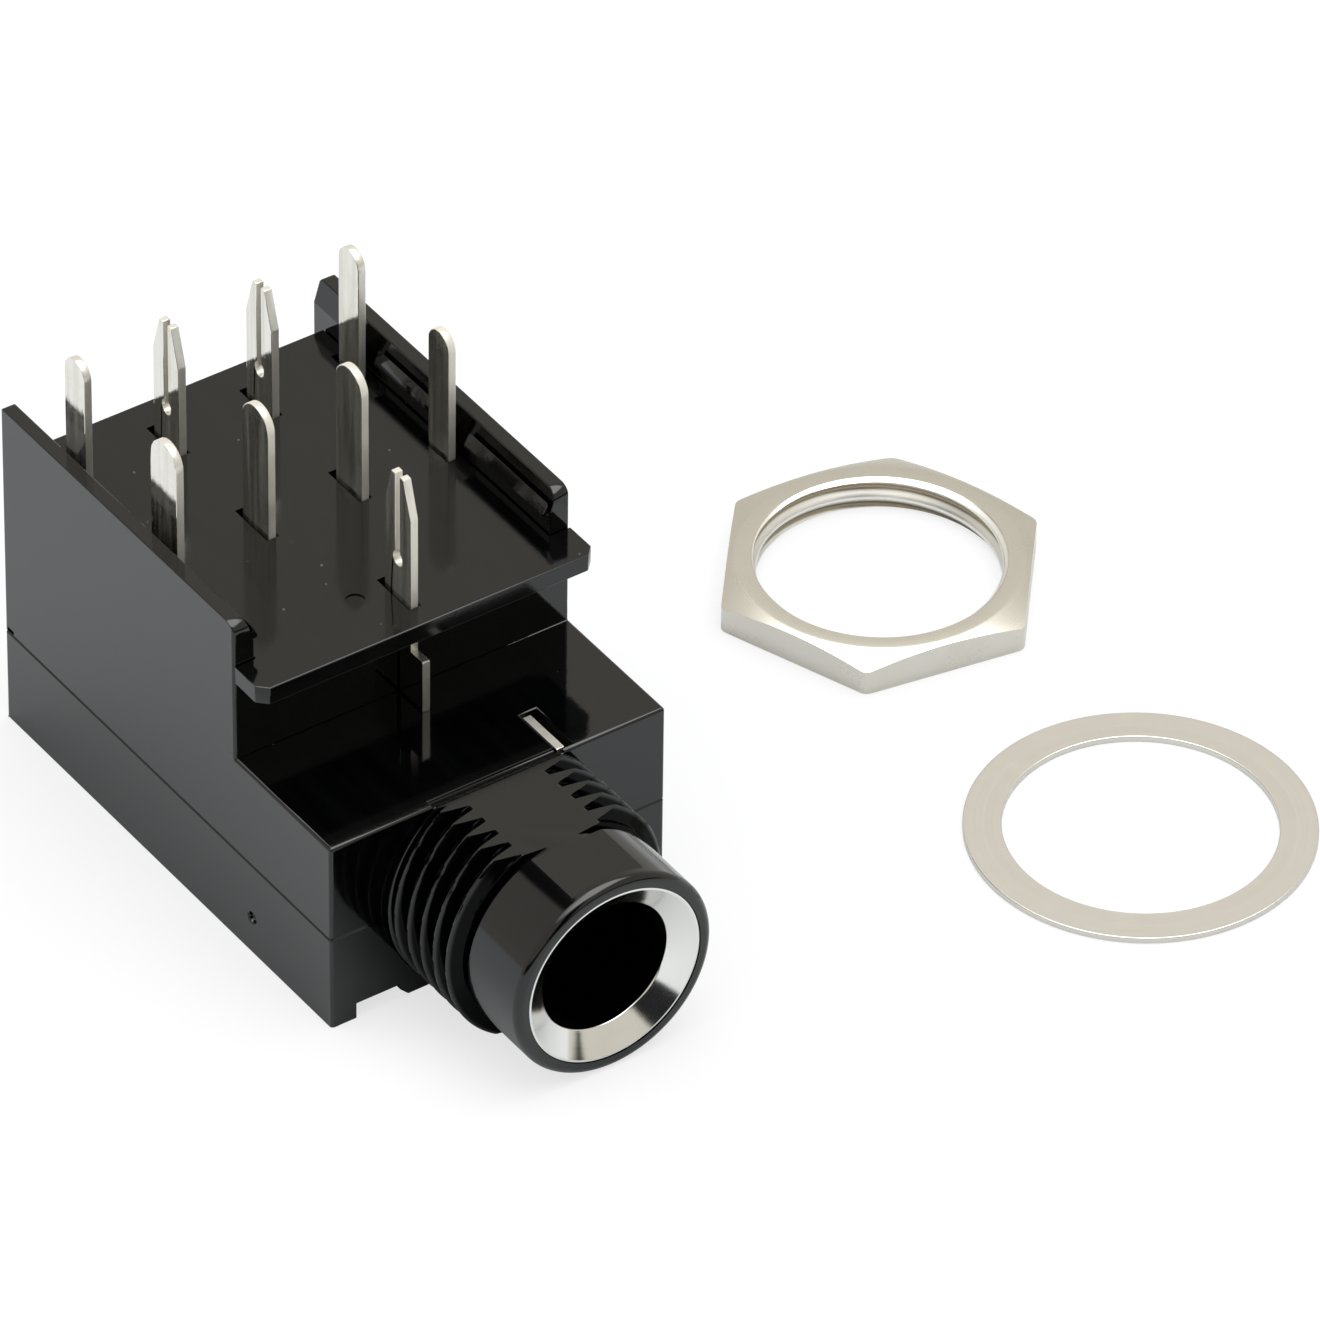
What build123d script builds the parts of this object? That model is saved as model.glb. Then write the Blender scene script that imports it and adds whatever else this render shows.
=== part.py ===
# Board-mounted stereo jack socket with a threaded barrel, shown with its loose hex nut and washer.
# Millimetres. The plug axis is the Y axis and the panel face is y = 0, with the pins pointing up.
import math
import os
from build123d import *

os.makedirs("parts", exist_ok=True)

# body
body_width = 17.6
body_length = 26.2
nose_length = 7.5
nose_height = 10.08
wall_height = 17.45
split_height = 4.95
shell = 1.05
front_wall = 0.9
edge_round = 0.15
nose_break = 0.1

# barrel
collar_radius = 5.15
collar_length = 3.8
neck_length = 0.3
barrel_length = 9.0
rim_round = 0.4
thread_radius = 5.82
thread_pitch = 1.0
thread_depth = 0.62
rim_length = 0.6
flat_drop = 0.13
flat_step = 0.43
flat_step_half = 3.45
bore_radius = 3.25

# ferrule
ferrule_wall = 0.45
ferrule_length = 4.1
funnel_radius = 4.45
funnel_depth = 0.75
ferrule_inset = 0.05
ferrule_edge = 0.05
ferrule_lip = 0.2
ferrule_break = 0.15

# pin plate
plate_height = 15.28
plate_thickness = 0.9
plate_overhang = 2.13
plate_rear_gap = 0.85
plate_side_gap = 0.05
plate_corner = 0.45
slot_side_gap = 0.06
plate_slot_gap = 0.12
slot_front_gap = 0.06
slot_rear_gap = 0.45

# snap beads on the side walls
bead_height = 0.75
bead_reach = 0.3
bead_lip = 0.2
bead_lift = 0.9
bead_end_gap = 0.3
wall_corner = 0.6
wall_rear_corner = 0.2
board_edge = 0.7
ledge_rise = 1.0

# pins and contact strips
strip = 0.4
pin_width = 2.05
slim_pin_width = 1.6
pin_rise = 6.7
inner_column = 2.45
outer_column_gap = 0.55
sleeve_row = 7.6
rear_row_gap = 2.9
front_row_shift = 0.195
slit_width = 0.34
slit_length = 4.6
slit_hole_radius = 0.36
taper_length = 1.9
taper_half = 0.48
leaf_half = 1.3
leaf_lead = 0.3
rest_gap = 0.9
touch_half = 2.55
finger_gap = 0.6
switch_gap = 1.7
shelf_gap = 0.9
dimple_radius = 0.5
open_dimple = 0.6
ring_touch = 11.2
ring_end_gap = 0.7
touch_flat = 1.2
spring_turn = 1.5

# sleeve contact
sleeve_leaf = 3.45
sleeve_leaf_end = 0.3
sleeve_tab_end = 2.95
sleeve_bridge = 5.4
sleeve_blade_front = 5.66
sleeve_step = 7.68
sleeve_bump_radius = 0.7
sleeve_bump = 0.18
sleeve_bump_row = 2.4
sleeve_travel = 0.45
sleeve_foot_gap = 0.15
bridge_lift = 0.2
bridge_height = 1.1

# pushers
pusher_length = 1.0
pusher_half = 0.9
pusher_gap = 0.955

# base cover
rail_width = 1.35
rail_height = 0.8
floor_thickness = 1.0
tongue_height = 0.5
tongue_inset = 0.65
joint_gap = 0.05
joint_chamfer = 0.08
foot_width = 1.5
foot_height = 0.7
foot_slope = 0.4
foot_from_axis = 4.4

# moulding marks
gate_radius = 0.32
gate_depth = 0.25
gate_row = 6.26
gate_level = -3.18
plate_mark_radius = 0.45
plate_mark_depth = 0.06
plate_mark_x = -1.88
plate_mark_y = 8.42
ejector_radius = 1.1
ejector_depth = 0.08
ejector_x = 5.0
ejector_rows = (4.2, 21.8)
pry_notch = 0.5
pry_notch_depth = 0.4
pry_notch_height = 0.3
pry_notch_inset = 0.2

# loose hardware
nut_flats = 13.76
nut_thickness = 1.69
nut_turn = 50.3
nut_corner_round = 0.3
nut_x = 29.02
nut_y = 12.05
nut_turned_radius = 6.6
nut_turned_drop = 0.36
nut_top_rim = 5.87
nut_bottom_rim = 5.75
nut_lead = 0.28
nut_thread_depth = 0.3
nut_land = 0.14
thread_play = 0.06
washer_outer = 7.92
washer_inner = 6.18
washer_thickness = 0.3
washer_break = 0.05
washer_x = 28.6
washer_y = -8.64

# levels and places that follow from the sizes above
half_width = body_width / 2
table = -collar_radius
nose_top = table + nose_height
wall_top = table + wall_height
plate_top = table + plate_height
plate_seat = plate_top - plate_thickness
split = table + split_height
floor_under = table + rail_height
floor_top = floor_under + floor_thickness
inner_half = half_width - shell
rear_inside = body_length - shell
tower_inside = nose_length + front_wall
flat_level = nose_top - flat_drop
thread_length = barrel_length - collar_length - neck_length
thread_root = thread_radius - thread_depth
turns = round(thread_length / thread_pitch)
plate_front = nose_length - plate_overhang
plate_rear = body_length - plate_rear_gap
pin_tip = plate_top + pin_rise
half_pin = pin_width / 2
half_strip = strip / 2
outer_column = inner_half - outer_column_gap
switch_half = outer_column - switch_gap
finger_half = switch_half - finger_gap
rest_half = finger_half - rest_gap
rear_row = rear_inside - rear_row_gap
front_row = (sleeve_row + rear_row) / 2 + front_row_shift
tip_touch = front_row + half_pin + pusher_length / 2 + pusher_gap
ferrule_radius = bore_radius + ferrule_wall
lip_radius = funnel_radius + ferrule_edge
ferrule_front = -barrel_length + ferrule_inset
ferrule_back = ferrule_front + ferrule_length
funnel_back = ferrule_front + funnel_depth
seat_back = ferrule_front + ferrule_lip
bridge_level = bore_radius + bridge_lift
leaf_foot = split + sleeve_foot_gap
bump_level = leaf_foot + sleeve_bump_radius
slot_roof = bridge_level + bridge_height + slot_side_gap


def ridge_row(root, crest, start, step, count):
    # points of a row of thread ridges along the axis, as radius and place; the last one ends on its crest
    points = []
    for n in range(count):
        place = start + n * step
        points += [(root, place), (crest, place + 0.44 * step), (crest, place + 0.56 * step)]
    return points


# upper housing: nose, tower, side walls and threaded barrel in one moulding
ridges = ridge_row(thread_root, thread_radius, -thread_length, thread_pitch, turns)
side_outline = [
    (0, split), (0, nose_top), (nose_length, nose_top), (nose_length, plate_seat),
    (body_length, plate_seat), (body_length, split),
]
with BuildPart() as housing:
    with BuildSketch(Plane.YZ):
        Polygon(*side_outline, align=None)
    extrude(amount=half_width, both=True)
    # side walls that stand on the circuit board, thinner along their upper edge
    for side in (-1, 1):
        with BuildSketch(Plane.XZ.offset(-nose_length)):
            with BuildLine():
                Polyline(
                    (side * half_width, plate_seat), (side * half_width, wall_top),
                    (side * (half_width - board_edge), wall_top),
                    (side * inner_half, plate_top + ledge_rise), (side * inner_half, plate_seat),
                    close=True,
                )
            make_face()
        extrude(amount=-(body_length - nose_length))
    # inside of the tower
    with BuildSketch(Plane.XY.offset(split)):
        with Locations((0, (tower_inside + rear_inside) / 2)):
            Rectangle(2 * inner_half, rear_inside - tower_inside)
    extrude(amount=plate_seat - split, mode=Mode.SUBTRACT)
    # rounded upright corners of the body
    uprights = housing.edges().filter_by(Axis.Z).filter_by(
        lambda e: abs(abs(e.center().X) - half_width) < 0.01
    )
    fillet(uprights, edge_round)
    # rounded upper corners of the side walls
    with BuildSketch(Plane.YZ.offset(-half_width)):
        with BuildLine():
            Polyline(
                (nose_length, wall_top - wall_corner), (nose_length, wall_top),
                (nose_length + wall_corner, wall_top),
            )
            CenterArc((nose_length + wall_corner, wall_top - wall_corner), wall_corner, 90, 90)
        make_face()
        with BuildLine():
            Polyline(
                (body_length, wall_top - wall_rear_corner), (body_length, wall_top),
                (body_length - wall_rear_corner, wall_top),
            )
            CenterArc(
                (body_length - wall_rear_corner, wall_top - wall_rear_corner), wall_rear_corner, 0, 90,
            )
        make_face()
    extrude(amount=body_width, mode=Mode.SUBTRACT)
    nose_edge = housing.edges().filter_by(Axis.X).filter_by(
        lambda e: abs(e.center().Y) < 0.01 and abs(e.center().Z - nose_top) < 0.01
    )
    chamfer(nose_edge, nose_break)
    # barrel with ridges, neck and collar, and the boss that fills the opening of the base cover
    with BuildSketch(Plane.XY):
        with BuildLine():
            Polyline(
                (0, shell), (thread_radius, shell), *reversed(ridges),
                (thread_root, -thread_length - neck_length),
                (collar_radius, -thread_length - neck_length),
                (collar_radius, -barrel_length), (0, -barrel_length), close=True,
            )
        make_face()
    revolve(axis=Axis.Y)
    rim = housing.edges().filter_by(GeomType.CIRCLE).group_by(Axis.Y)[0]
    fillet(rim, rim_round)
    # flats on the top and the bottom of the barrel behind its rim, run a little way into the nose
    with BuildSketch(Plane.XZ.offset(barrel_length - rim_length)):
        with Locations((0, flat_level + thread_radius), (0, -flat_level - thread_radius)):
            Rectangle(4 * thread_radius, 2 * thread_radius)
    extrude(amount=-(barrel_length - rim_length), mode=Mode.SUBTRACT)
    with BuildSketch(Plane.XZ):
        with Locations((0, flat_level + flat_drop)):
            Rectangle(2 * flat_step_half, 2 * flat_drop)
    extrude(amount=-flat_step, mode=Mode.SUBTRACT)
    # nose top over the boss
    with BuildSketch(Plane.XY.offset(nose_top)):
        with Locations((0, shell / 2)):
            Rectangle(4 * thread_radius, shell)
    extrude(amount=thread_radius, mode=Mode.SUBTRACT)
    # flat under the boss, level with the flat under the barrel
    with BuildSketch(Plane.XZ):
        with Locations((0, -flat_level - thread_radius)):
            Rectangle(4 * thread_radius, 2 * thread_radius)
    extrude(amount=-shell, mode=Mode.SUBTRACT)
    # seat of the ferrule and the plug bore
    with BuildSketch(Plane.XY):
        with BuildLine():
            Polyline(
                (0, -barrel_length), (lip_radius, -barrel_length), (lip_radius, seat_back),
                (ferrule_radius, seat_back + lip_radius - ferrule_radius),
                (ferrule_radius, ferrule_back), (bore_radius, ferrule_back),
                (bore_radius, tower_inside), (0, tower_inside), close=True,
            )
        make_face()
    revolve(axis=Axis.Y, mode=Mode.SUBTRACT)
    # slots in the nose for the sleeve contact, open at the top for its tab and for its blade
    with BuildSketch(Plane.XY.offset(split)):
        leaf_left = sleeve_leaf - half_strip - slot_side_gap
        leaf_right = sleeve_leaf + half_strip + sleeve_travel
        leaf_front = sleeve_leaf_end - slot_front_gap
        bridge_back = sleeve_bridge + half_strip + slot_side_gap
        bridge_front = sleeve_bridge - half_strip - slot_side_gap
        with BuildLine():
            Polyline(
                (leaf_left, leaf_front), (leaf_right, leaf_front), (leaf_right, bridge_back),
                (leaf_left, bridge_back), close=True,
            )
        make_face()
    extrude(amount=slot_roof - split, mode=Mode.SUBTRACT)
    with BuildSketch(Plane.XY.offset(split)):
        with BuildLine():
            Polyline(
                (leaf_left, leaf_front), (leaf_right, leaf_front),
                (leaf_right, sleeve_tab_end + bridge_lift), (leaf_left, sleeve_tab_end + bridge_lift),
                close=True,
            )
        make_face()
    extrude(amount=nose_top - split, mode=Mode.SUBTRACT)
    with BuildSketch(Plane.XY.offset(bore_radius)):
        with BuildLine():
            Polyline(
                (-half_strip - slot_side_gap, bridge_front), (leaf_right, bridge_front),
                (leaf_right, bridge_back), (-half_strip - slot_side_gap, bridge_back), close=True,
            )
        make_face()
    extrude(amount=slot_roof - bore_radius, mode=Mode.SUBTRACT)
    with BuildSketch(Plane.XY.offset(bore_radius)):
        with BuildLine():
            Polyline(
                (-half_strip - slot_side_gap, sleeve_blade_front - slot_front_gap),
                (half_strip + slot_side_gap, sleeve_blade_front - slot_front_gap),
                (half_strip + slot_side_gap, tower_inside),
                (-half_strip - slot_side_gap, tower_inside), close=True,
            )
        make_face()
    extrude(amount=plate_seat - bore_radius, mode=Mode.SUBTRACT)
    # window in the wall of the bore for the bump of the sleeve contact
    with BuildSketch(Plane.YZ.offset(leaf_left)):
        with Locations((sleeve_bump_row, bump_level)):
            Circle(sleeve_bump_radius + slot_side_gap)
    extrude(amount=leaf_left - bore_radius - shell, mode=Mode.SUBTRACT)
    # groove under the walls for the tongue of the base cover
    groove_inner = inner_half
    groove_outer = half_width - tongue_inset + joint_gap
    with BuildSketch(Plane.XY.offset(split)):
        with Locations((0, (tower_inside + body_length - tongue_inset + joint_gap) / 2)):
            Rectangle(2 * groove_outer, body_length - tongue_inset + joint_gap - tower_inside)
        with Locations((0, (tower_inside + rear_inside) / 2)):
            Rectangle(2 * groove_inner, rear_inside - tower_inside, mode=Mode.SUBTRACT)
    extrude(amount=tongue_height + joint_gap, mode=Mode.SUBTRACT)
    # snap beads above the pin plate, between the outer pins
    bead_under = plate_top + bead_lift
    bead_runs = [
        (nose_length + bead_end_gap / 2, front_row - half_pin - bead_end_gap),
        (front_row + half_pin + bead_end_gap, rear_row - half_pin - bead_end_gap),
    ]
    for start, end in bead_runs:
        with BuildSketch(Plane.XZ.offset(-start)):
            for side in (-1, 1):
                with BuildLine():
                    Polyline(
                        (side * inner_half, bead_under),
                        (side * (inner_half - bead_reach), bead_under),
                        (side * (inner_half - bead_reach), bead_under + bead_lip),
                        (side * inner_half, bead_under + bead_height), close=True,
                    )
                make_face()
        extrude(amount=-(end - start))
    # small notches near the rear ends of the joint, where the two mouldings are pried apart
    pry_row = body_length - pry_notch_inset - pry_notch / 2
    with BuildSketch(Plane.XY.offset(split)):
        with Locations((-half_width, pry_row), (half_width, pry_row)):
            Rectangle(2 * pry_notch_depth, pry_notch)
    extrude(amount=pry_notch_height, mode=Mode.SUBTRACT)
    # broken edge along the joint
    joint_edges = housing.edges().filter_by(
        lambda e: abs(e.center().Z - split) < 0.001 and e.length > 2 * edge_round
        and (abs(abs(e.center().X) - half_width) < 0.001 or abs(e.center().Y - body_length) < 0.001
             or abs(e.center().Y) < 0.001)
    )
    chamfer(joint_edges, joint_chamfer)
housing.part.label = "housing"
export_step(housing.part, "parts/housing.step")

# base cover: floor, low walls with a tongue, rails, and an opening round the barrel root
with BuildPart() as base_cover:
    with BuildSketch(Plane.XY.offset(floor_under)):
        with Locations((0, body_length / 2)):
            Rectangle(body_width, body_length)
    extrude(amount=split - floor_under)
    with BuildSketch(Plane.XY.offset(floor_top)):
        with Locations((0, body_length / 2)):
            Rectangle(2 * inner_half, body_length - 2 * shell)
    extrude(amount=split - floor_top, mode=Mode.SUBTRACT)
    # tongue that enters the housing behind the nose
    tongue_front = tower_inside + joint_gap
    tongue_half = half_width - tongue_inset
    tongue_rear = body_length - tongue_inset
    with BuildSketch(Plane.XY.offset(split)):
        with Locations((0, (tongue_front + tongue_rear) / 2)):
            Rectangle(2 * tongue_half, tongue_rear - tongue_front)
        with Locations((0, (tongue_front + rear_inside) / 2)):
            Rectangle(2 * inner_half, rear_inside - tongue_front, mode=Mode.SUBTRACT)
    extrude(amount=tongue_height)
    # rails along both long edges
    with BuildSketch(Plane.XY.offset(table)):
        with Locations(
            (-half_width + rail_width / 2, body_length / 2),
            (half_width - rail_width / 2, body_length / 2),
        ):
            Rectangle(rail_width, body_length)
    extrude(amount=rail_height)
    # small feet beside the barrel
    with BuildSketch(Plane.XY.offset(floor_under - foot_height)):
        with Locations((-foot_from_axis, shell / 2), (foot_from_axis, shell / 2)):
            Rectangle(foot_width, shell)
    extrude(amount=foot_height)
    foot_corners = base_cover.edges().filter_by(Axis.Y).filter_by(
        lambda e: abs(e.center().Z - floor_under + foot_height) < 0.01
        and abs(abs(e.center().X) - foot_from_axis - foot_width / 2) < 0.01
    )
    chamfer(foot_corners, foot_slope)
    # opening for the boss of the barrel
    with BuildSketch(Plane.XZ):
        Circle(thread_radius + joint_gap)
    extrude(amount=-shell, mode=Mode.SUBTRACT)
    cover_uprights = base_cover.edges().filter_by(Axis.Z).filter_by(
        lambda e: abs(abs(e.center().X) - half_width) < 0.01
    )
    fillet(cover_uprights, edge_round)
    # broken edge along the joint
    cover_joint = base_cover.edges().filter_by(
        lambda e: abs(e.center().Z - split) < 0.001 and e.length > 2 * edge_round
        and (abs(abs(e.center().X) - half_width) < 0.001 or abs(e.center().Y - body_length) < 0.001
             or abs(e.center().Y) < 0.001)
    )
    chamfer(cover_joint, joint_chamfer)
    # gate mark on the left side
    with BuildSketch(Plane.YZ.offset(-half_width)):
        with Locations((gate_row, gate_level)):
            Circle(gate_radius)
    extrude(amount=gate_depth, taper=20, mode=Mode.SUBTRACT)
    # round ejector marks under the floor
    with BuildSketch(Plane.XY.offset(floor_under)):
        with Locations(*[(x, y) for x in (-ejector_x, ejector_x) for y in ejector_rows]):
            Circle(ejector_radius)
    extrude(amount=ejector_depth, mode=Mode.SUBTRACT)
base_cover.part.label = "base_cover"
export_step(base_cover.part, "parts/base_cover.step")

# pin plate with ears in front of the side walls
wide_places = [(0, sleeve_row), (-inner_column, rear_row), (inner_column, rear_row)]
wide_places += [(x, front_row) for x in (-outer_column, -inner_column, inner_column)]
slim_places = [(-outer_column, rear_row), (outer_column, rear_row), (outer_column, front_row)]
slot_middle = (slot_rear_gap - slot_front_gap) / 2
with BuildPart() as pin_plate:
    with BuildSketch(Plane.XY.offset(plate_seat)):
        with Locations((0, (nose_length - joint_gap + plate_front) / 2)):
            Rectangle(body_width, plate_overhang - joint_gap)
        with Locations((0, (plate_front + plate_rear) / 2)):
            Rectangle(2 * (inner_half - plate_side_gap), plate_rear - plate_front)
    extrude(amount=plate_thickness)
    ear_corners = pin_plate.edges().filter_by(Axis.Z).group_by(Axis.Y)[0]
    chamfer(ear_corners, plate_corner)
    with BuildSketch(Plane.XY.offset(plate_seat)):
        with Locations(*[(x, y + slot_middle) for x, y in wide_places]):
            Rectangle(strip + 2 * plate_slot_gap, pin_width + slot_front_gap + slot_rear_gap)
        with Locations(*[(x, y + slot_middle) for x, y in slim_places]):
            Rectangle(strip + 2 * plate_slot_gap, slim_pin_width + slot_front_gap + slot_rear_gap)
    extrude(amount=plate_thickness, mode=Mode.SUBTRACT)
    # shallow round gate mark near the front
    with BuildSketch(Plane.XY.offset(plate_top)):
        with Locations((plate_mark_x, plate_mark_y)):
            Circle(plate_mark_radius)
    extrude(amount=-plate_mark_depth, mode=Mode.SUBTRACT)
pin_plate.part.label = "pin_plate"
export_step(pin_plate.part, "parts/pin_plate.step")

# ferrule: short flared tube in the mouth of the barrel
with BuildPart() as ferrule:
    with BuildSketch(Plane.XY):
        with BuildLine():
            Polyline(
                (funnel_radius, ferrule_front), (lip_radius, ferrule_front),
                (lip_radius, seat_back),
                (ferrule_radius, seat_back + lip_radius - ferrule_radius),
                (ferrule_radius, ferrule_back), (bore_radius + ferrule_break, ferrule_back),
                (bore_radius, ferrule_back - ferrule_break), (bore_radius, funnel_back),
            )
            Spline(
                (bore_radius, funnel_back), (funnel_radius, ferrule_front),
                tangents=((0, -1), (1, -0.35)), tangent_scalars=(0.5, 1.0),
            )
        make_face()
    revolve(axis=Axis.Y)
ferrule.part.label = "ferrule"
export_step(ferrule.part, "parts/ferrule.step")


def pin_face(row, lower, width, split_tip):
    # face of a pin in the plane of its strip, from a lower level up to the tip
    half = width / 2
    front = row - half
    back = row + half
    with BuildSketch() as face:
        with BuildLine():
            if split_tip:
                Polyline(
                    (row - taper_half, pin_tip), (front, pin_tip - taper_length), (front, lower),
                    (back, lower), (back, pin_tip - taper_length), (row + taper_half, pin_tip),
                    close=True,
                )
            else:
                Polyline((front, pin_tip - half), (front, lower), (back, lower), (back, pin_tip - half))
                ThreePointArc((back, pin_tip - half), (row, pin_tip), (front, pin_tip - half))
        make_face()
        if split_tip:
            # slit down the middle, ending in a round hole
            with Locations((row, pin_tip - slit_length / 2)):
                Rectangle(slit_width, slit_length, mode=Mode.SUBTRACT)
            with Locations((row, pin_tip - slit_length)):
                Circle(slit_hole_radius, mode=Mode.SUBTRACT)
    return face.sketch


def strip_face(path):
    # face of a sheet metal strip seen on its edge, along a path
    with BuildSketch() as face:
        with BuildLine():
            Polyline(*path)
        trace(line_width=strip)
    return face.sketch


# sleeve contact: upright leaf beside the bore, bridge above the bore, and the split front pin
with BuildPart() as sleeve_contact:
    with BuildSketch(Plane.YZ.offset(-half_strip)):
        add(pin_face(sleeve_row, sleeve_step, pin_width, True))
        blade_width = sleeve_row + half_pin - sleeve_blade_front
        with Locations((sleeve_blade_front + blade_width / 2, (sleeve_step + bridge_level) / 2)):
            Rectangle(blade_width, sleeve_step - bridge_level)
    extrude(amount=strip)
    with BuildSketch(Plane.XY.offset(bridge_level)):
        with BuildLine():
            Polyline(
                (-half_strip, sleeve_bridge - half_strip),
                (sleeve_leaf + half_strip, sleeve_bridge - half_strip),
                (sleeve_leaf + half_strip, sleeve_bridge + half_strip),
                (half_strip, sleeve_bridge + half_strip), (half_strip, sleeve_blade_front + strip),
                (-half_strip, sleeve_blade_front + strip), close=True,
            )
        make_face()
    extrude(amount=bridge_height)
    tab_top = nose_top - joint_gap
    with BuildSketch(Plane.YZ.offset(sleeve_leaf - half_strip)):
        with BuildLine():
            Polyline(
                (sleeve_leaf_end, leaf_foot), (sleeve_bridge + half_strip, leaf_foot),
                (sleeve_bridge + half_strip, bridge_level + bridge_height),
                (sleeve_tab_end + bridge_height / 2, bridge_level + bridge_height / 2),
                (sleeve_tab_end, tab_top), (sleeve_leaf_end, tab_top), close=True,
            )
        make_face()
    extrude(amount=strip)
    # formed bump that presses on the plug
    with BuildSketch(Plane.YZ.offset(sleeve_leaf - half_strip)):
        with Locations((sleeve_bump_row, bump_level)):
            Circle(sleeve_bump_radius)
    extrude(amount=-sleeve_bump, taper=45)
sleeve_contact.part.label = "sleeve_contact"
export_step(sleeve_contact.part, "parts/sleeve_contact.step")


turn_start = rear_row - half_pin
turn_end = turn_start - spring_turn
slim_start = rear_row - slim_pin_width / 2

# tip spring on the left, split pin in the rear row
with BuildPart() as tip_spring:
    with BuildSketch(Plane.YZ.offset(-inner_column - half_strip)):
        add(pin_face(rear_row, -leaf_half, pin_width, True))
    extrude(amount=strip)
    with BuildSketch(Plane.XY.offset(-leaf_half)):
        add(strip_face([
            (-inner_column, turn_start + strip), (-inner_column, turn_start),
            (-rest_half, turn_end), (-touch_half, tip_touch + touch_flat / 2),
            (-touch_half, tip_touch - touch_flat / 2),
            (-rest_half, tip_touch - touch_flat / 2 - spring_turn),
        ]))
    extrude(amount=2 * leaf_half)
tip_spring.part.label = "tip_spring"
export_step(tip_spring.part, "parts/tip_spring.step")

# ring spring on the right, split pin in the rear row
with BuildPart() as ring_spring:
    with BuildSketch(Plane.YZ.offset(inner_column - half_strip)):
        add(pin_face(rear_row, -leaf_half, pin_width, True))
    extrude(amount=strip)
    with BuildSketch(Plane.XY.offset(-leaf_half)):
        add(strip_face([
            (inner_column, turn_start + strip), (inner_column, turn_start),
            (rest_half, turn_end), (rest_half, ring_touch + touch_flat / 2 + spring_turn),
            (touch_half, ring_touch + touch_flat / 2), (touch_half, ring_touch - touch_flat / 2),
            (rest_half, tower_inside + ring_end_gap),
        ]))
    extrude(amount=2 * leaf_half)
ring_spring.part.label = "ring_spring"
export_step(ring_spring.part, "parts/ring_spring.step")

open_widths = {"tip": pin_width, "ring": slim_pin_width}

# changeover contacts of both circuits: one moving leaf, one inner finger, one outer blade
for name, side, touch in (("tip", -1, tip_touch), ("ring", 1, ring_touch)):
    leaf_tip = min(touch - touch_flat / 2, front_row - half_pin) - leaf_lead
    with BuildPart() as common:
        with BuildSketch(Plane.YZ.offset(side * outer_column - half_strip)):
            add(pin_face(rear_row, -leaf_half, slim_pin_width, False))
        extrude(amount=strip)
        with BuildSketch(Plane.XY.offset(-leaf_half)):
            add(strip_face([
                (side * outer_column, slim_start + strip), (side * outer_column, slim_start),
                (side * switch_half, slim_start - spring_turn), (side * switch_half, leaf_tip),
            ]))
        extrude(amount=2 * leaf_half)
    common.part.label = name + "_switch_common"
    export_step(common.part, "parts/" + name + "_switch_common.step")

    shelf = bore_radius + shelf_gap
    with BuildPart() as closed:
        with BuildSketch(Plane.YZ.offset(side * inner_column - half_strip)):
            add(pin_face(front_row, shelf, pin_width, False))
        extrude(amount=strip)
        with BuildSketch(Plane.XZ.offset(-front_row)):
            add(strip_face([
                (side * inner_column, shelf + strip), (side * inner_column, shelf),
                (side * finger_half, shelf), (side * finger_half, -leaf_half),
            ]))
        extrude(amount=half_pin, both=True)
        with BuildSketch(Plane.YZ.offset(side * (finger_half + half_strip))):
            with Locations((front_row, 0)):
                Circle(dimple_radius)
        extrude(amount=side * (switch_half - finger_half - strip))
    closed.part.label = name + "_switch_closed"
    export_step(closed.part, "parts/" + name + "_switch_closed.step")

    with BuildPart() as opened:
        with BuildSketch(Plane.YZ.offset(side * outer_column - half_strip)):
            add(pin_face(front_row, -leaf_half, open_widths[name], False))
        extrude(amount=strip)
        with BuildSketch(Plane.YZ.offset(side * (outer_column - half_strip))):
            with Locations((front_row, 0)):
                Circle(dimple_radius)
        extrude(amount=-side * open_dimple)
    opened.part.label = name + "_switch_open"
    export_step(opened.part, "parts/" + name + "_switch_open.step")

    # insulating pusher fixed to the spring and resting against the moving leaf
    with BuildPart() as pusher:
        with BuildSketch(Plane.XY.offset(-pusher_half)):
            inner = side * (touch_half + half_strip)
            outer = side * (switch_half - half_strip)
            with Locations(((inner + outer) / 2, touch)):
                Rectangle(abs(outer - inner), pusher_length)
        extrude(amount=2 * pusher_half)
    pusher.part.label = name + "_pusher"
    export_step(pusher.part, "parts/" + name + "_pusher.step")

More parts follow.
